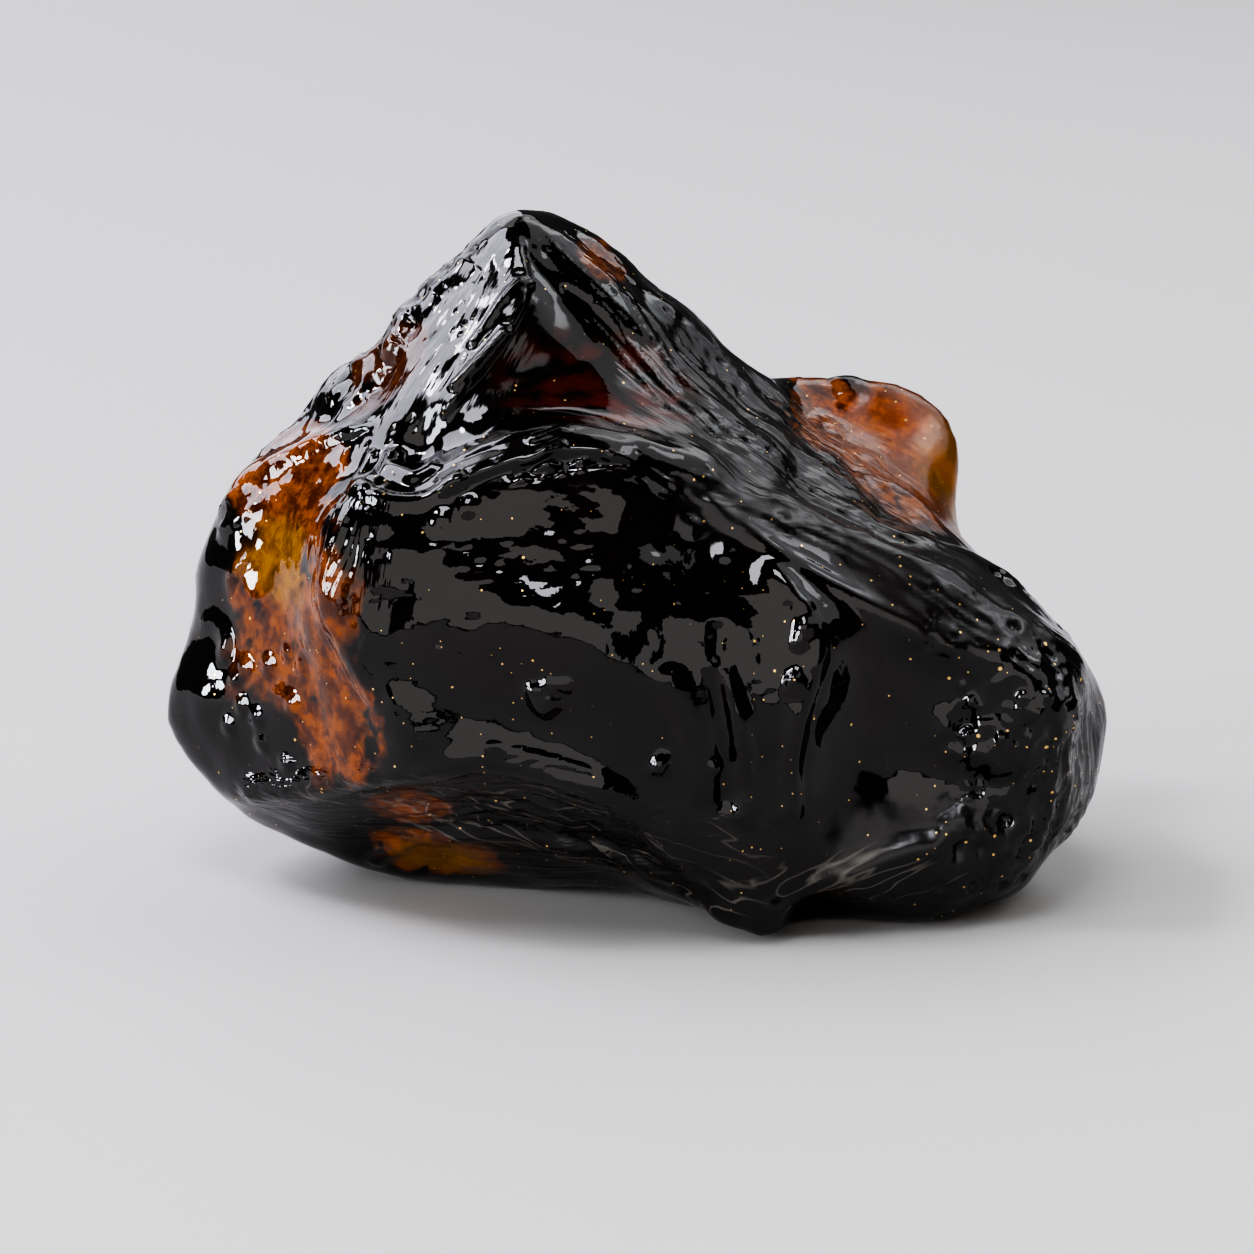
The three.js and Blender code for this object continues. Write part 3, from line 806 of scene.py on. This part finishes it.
# The painted glow of light through thin resin, laid over the amber's own mottled colour.
glow_reach = {"Value": nearest_reach(PAINTED_GLOW_ZONES), "From Min": 1.1, "From Max": 0.5}
painted_glow = add_node("ShaderNodeMapRange", glow_reach, interpolation_type="SMOOTHSTEP")
strength = add_node("ShaderNodeMapRange", {"Value": mottle, "To Min": 0.35, "To Max": 0.95})
painted_glow = add_node("ShaderNodeMath", {0: painted_glow, 1: strength}, operation="MULTIPLY")
with_painted_glow = {0: painted_glow, 6: amber_colour, 7: linear(PAINTED_GLOW_YELLOW)}
amber_colour = add_node("ShaderNodeMix", with_painted_glow, 2, data_type="RGBA")
shaded = {"Value": reach_into(UMBER), "From Min": 1.2, "From Max": 0.6, "To Max": UMBER_STRENGTH}
umber = add_node("ShaderNodeMapRange", shaded, interpolation_type="SMOOTHSTEP")
with_umber = {0: umber, 6: amber_colour, 7: linear(DARK_UMBER)}
amber_colour = add_node("ShaderNodeMix", with_umber, 2, data_type="RGBA")
print("honey zones:", len(PAINTED_GLOW_ZONES))

# %% [markdown]
# The skin is nearly black, with faint dark-red streaks in the facet under the peak.

# %% Colour of the skin
FACET = ((-2, -6, 33.5), (8, 5, 4))
STREAK_WAY = (0.85, -0.1, 0.35)
BLACK_SKIN = "#120c08"
DARK_RED = "#641f0b"

streaks = {"Vector": drawn_out(STREAK_WAY, 5.0, 1.2), "Scale": 1.0, "Detail": 2.0}
streaks = add_node("ShaderNodeTexNoise", streaks)
streaks = add_node("ShaderNodeMapRange", {"Value": streaks, "From Min": 0.42, "From Max": 0.62})
in_facet = {"Value": reach_into(FACET), "From Min": 1.1, "From Max": 0.6}
in_facet = add_node("ShaderNodeMapRange", in_facet, interpolation_type="SMOOTHSTEP")
red = add_node("ShaderNodeMath", {0: streaks, 1: in_facet}, operation="MULTIPLY")
darks = {0: red, 6: linear(BLACK_SKIN), 7: linear(DARK_RED)}
skin = add_node("ShaderNodeMix", darks, 2, data_type="RGBA")
base = add_node("ShaderNodeMix", {0: window, 6: skin, 7: amber_colour}, 2, data_type="RGBA")
print("skin and windows coloured")

# %% [markdown]
# Along the folds of the lower rim and the lip, thin pale lines are painted in as the glints of
# light along the folds. A line is drawn where drawn-out noise passes through its middle value.

# %% Painted glints along the lower folds
PAINTED_GLINT_RUNS = [
    ([((-8, -13, 7), (16, 6, 4.5)), ((4, -14, 3), (4, 4, 2.5))], (0.94, 0.0, -0.33)),
    ([((13, -14, 4), (7, 3, 2.2))], (0.91, 0.08, 0.40)),
]
PAINTED_GLINT_GREY = "#b9b2a4"
PAINTED_GLINT_STRENGTH = 0.55
LINE_HALF_WIDTH = 0.025  # as a difference in the noise's value
MIDDLE = 0.5

# Painted highlights: pale lines that stand in for light glinting along the folds.
for zones, way in PAINTED_GLINT_RUNS:
    folds = {"Vector": drawn_out(way, 7.0, 1.4), "Scale": 1.0, "Detail": 1.0}
    folds = add_node("ShaderNodeTexNoise", folds)
    off_line = add_node("ShaderNodeMath", {0: folds, 1: MIDDLE}, operation="SUBTRACT")
    off_line = add_node("ShaderNodeMath", {0: off_line}, operation="ABSOLUTE")
    lines = {"Value": off_line, "From Min": LINE_HALF_WIDTH, "From Max": 0.0, "To Max": PAINTED_GLINT_STRENGTH}
    lines = add_node("ShaderNodeMapRange", lines)
    near_folds = {"Value": nearest_reach(zones), "From Min": 1.1, "From Max": 0.6}
    near_folds = add_node("ShaderNodeMapRange", near_folds, interpolation_type="SMOOTHSTEP")
    painted_glint = add_node("ShaderNodeMath", {0: lines, 1: near_folds}, operation="MULTIPLY")
    base = add_node("ShaderNodeMix", {0: painted_glint, 6: base, 7: linear(PAINTED_GLINT_GREY)}, 2, data_type="RGBA")
print("bloom along", len(PAINTED_GLINT_RUNS), "runs of folds")

# %% [markdown]
# Everywhere in the skin there are golden specks of pyrite, a tenth or two of a millimetre across.
# They are drawn as dots in the cells of a Voronoi pattern. Each cell's random red gives its dot's
# size, raised to a power that makes most dots too small to see. In the right lobe the largest are
# half as large again. Pyrite shines as a metal does in the glassy resin, so the dots are set as
# metal.

# %% Specks of pyrite
CELL_MM = 0.6
LARGEST_DOT = 0.17     # a radius, as a share of the cell
LARGEST_IN_LOBE = 0.25
RARITY = 2.6
METAL_SHARE = 0.9
IN_LOBE = ((24, -11, 12), (7, 6, 9))
PYRITE = "#e2bd76"

voronoi = {"Vector": place, "Scale": per(CELL_MM)}
from_centre = add_node("ShaderNodeTexVoronoi", voronoi, "Distance")
chance = add_node("ShaderNodeSeparateColor", {"Color": from_centre.node.outputs["Color"]}, "Red")
out_of_lobe = {"Value": reach_into(IN_LOBE), "From Min": 0.7, "From Max": 1.1}
dot_sizes = {"To Min": LARGEST_IN_LOBE, "To Max": LARGEST_DOT}
largest = add_node("ShaderNodeMapRange", out_of_lobe | dot_sizes)
size = add_node("ShaderNodeMath", {0: chance, 1: RARITY}, operation="POWER")
size = add_node("ShaderNodeMath", {0: size, 1: largest}, operation="MULTIPLY")
beyond = add_node("ShaderNodeMath", {0: from_centre, 1: size}, operation="SUBTRACT")
dots = add_node("ShaderNodeMapRange", {"Value": beyond, "From Min": 0.01, "From Max": -0.02})
colour = add_node("ShaderNodeMix", {0: dots, 6: base, 7: linear(PYRITE)}, 2, data_type="RGBA")
metal = add_node("ShaderNodeMath", {0: dots, 1: METAL_SHARE}, operation="MULTIPLY")
amber.node_tree.links.new(colour, shader.inputs["Base Color"])
amber.node_tree.links.new(metal, shader.inputs["Metallic"])
across = [round(2 * radius * CELL_MM, 2) for radius in (LARGEST_DOT, LARGEST_IN_LOBE)]
print("specks up to", across[0], "mm across, and in the lobe up to", across[1])

# %% [markdown]
# ## Gloss
#
# The skin is mirror smooth where the sea has worn it clean, and satin where fine grain still covers
# it. The slopes, strap, hump, brow, lobe and lower folds are satin to different degrees, and the
# pyrite specks are duller than the resin round them. The IOR of 1.54 is amber's own.

# %% Roughness by place
POLISHED = 0.035
DULL_DOT = 0.25
SATIN_ZONES = {
    "right slope": (((12, -1, 29), (19, 10, 9)), 0.20),
    "strap": (((9, -9, 27), (9, 4, 3.5)), 0.27),
    "strap's end": (((20, -9.5, 21.5), (10, 5, 4.5)), 0.27),
    "lobe": (((28, -6, 12), (5, 10, 11)), 0.14),
    "lip": (((16.5, -12.5, 5.5), (8, 4, 4)), 0.30),
    "drop": (((6.5, -14, 2), (5, 4, 3)), 0.22),
    "lower rim": (((-9, -9, 5), (18, 9, 5)), 0.26),
    "hump": (HUMP, 0.24),
    "left slope": (((-12, -4, 36), (8, 7, 7)), 0.12),
    "brow": (((-9, -12, 30.5), (10, 3, 3)), 0.09),
}

dull_dots = add_node("ShaderNodeMath", {0: dots, 1: DULL_DOT}, operation="MULTIPLY")
rough = add_node("ShaderNodeMath", {0: dull_dots, 1: POLISHED}, operation="ADD")
for zone, satin in SATIN_ZONES.values():
    reach = add_node("ShaderNodeMath", {0: reach_into(zone), 1: ragged}, operation="ADD")
    eased = {"Value": reach, "From Min": 1.15, "From Max": 0.75, "To Min": POLISHED, "To Max": satin}
    eased = add_node("ShaderNodeMapRange", eased, interpolation_type="SMOOTHSTEP")
    rough = add_node("ShaderNodeMath", {0: rough, 1: eased}, operation="MAXIMUM")
amber.node_tree.links.new(rough, shader.inputs["Roughness"])
shader.inputs["IOR"].default_value = 1.54
shader.inputs["Transmission Weight"].default_value = 0.68
print("satin:", ", ".join(SATIN_ZONES))

# %% [markdown]
# ## Fine grain
#
# Grain finer than the mesh is left to a bump. Outside the flow zones it is a faint orange-peel
# texture. Inside one it is drawn out along the way the resin flowed, and it fades to nothing at
# the zone's border, where one pattern takes over from the other. All zones share one noise, which
# is told in each place which grains to count in, because each noise in a bump costs much time.

# %% Bump by place
FLOWS = {
    "left slope": (((-11.5, -4, 36), (6, 6, 8)), (0.46, 0.43, 0.78), 4.0, 0.45, 0.05),
    "right slope": (((12, -1, 29), (19, 10, 9)), (0.78, -0.16, -0.61), 6.0, 0.8, 0.12),
    "lower rim": (((-9, -11, 7), (19, 10, 6)), (0.95, -0.30, 0.10), 5.0, 0.45, 0.14),
    "left edge": (((-16.5, -13, 24), (3.0, 4, 7)), (-0.2, -0.3, -0.93), 4.0, 0.5, 0.03),
    "lobe": (((28, -7, 9), (5, 8, 9)), (0.1, 0.3, -0.95), 3.5, 0.6, 0.12),
}
PEEL_MM = 0.9
PEEL_HEIGHT_MM = 0.02
FADE = 0.3
BORDER = 1.1

grains = drawn_out((1, 0, 0), PEEL_MM, PEEL_MM)
relief = PEEL_HEIGHT_MM
for zone, way, length_mm, width_mm, height_mm in FLOWS.values():
    reach = reach_into(zone)
    within = add_node("ShaderNodeMath", {0: reach, 1: BORDER}, operation="LESS_THAN")
    flow = drawn_out(way, length_mm, width_mm)
    grains = add_node("ShaderNodeMix", {0: within, 4: grains, 5: flow}, 1, data_type="VECTOR")
    outer = {"Value": reach, "From Min": BORDER, "From Max": BORDER + FADE}
    outer = add_node("ShaderNodeMapRange", outer, interpolation_type="SMOOTHSTEP")
    relief = add_node("ShaderNodeMath", {0: relief, 1: outer}, operation="MULTIPLY")
    inner = {"Value": reach, "From Min": BORDER, "From Max": BORDER - FADE, "To Max": height_mm}
    inner = add_node("ShaderNodeMapRange", inner, interpolation_type="SMOOTHSTEP")
    relief = add_node("ShaderNodeMath", {0: relief, 1: inner}, operation="ADD")
grain = add_node("ShaderNodeTexNoise", {"Vector": grains, "Scale": 1.0, "Detail": 2.0})
height = add_node("ShaderNodeMath", {0: grain, 1: relief}, operation="MULTIPLY")
bump = add_node("ShaderNodeBump", {"Height": height, "Distance": MM, "Strength": 1.0})
amber.node_tree.links.new(bump, shader.inputs["Normal"])
print("grain drawn out on:", ", ".join(FLOWS))

# %% [markdown]
# ## Depth
#
# The absorption colour keeps most red, about two thirds of green and little blue. The density
# makes ten millimetres of resin pass three fifths of the red.

# %% Absorption
RESIN = (0.88, 0.68, 0.14, 1.0)
DENSITY = 400.0

depth = add_node("ShaderNodeVolumeAbsorption", {"Color": RESIN, "Density": DENSITY})
amber.node_tree.links.new(depth, amber.node_tree.nodes["Material Output"].inputs["Volume"])
stone.data.materials.append(amber)
passed = [round(math.exp(-DENSITY * 10 * MM * (1 - part)), 2) for part in RESIN[:3]]
print("10 mm of resin passes", passed, "of red, green and blue")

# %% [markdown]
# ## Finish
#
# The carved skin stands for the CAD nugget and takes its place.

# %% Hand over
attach(stone, "root")
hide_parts("amber_nugget")
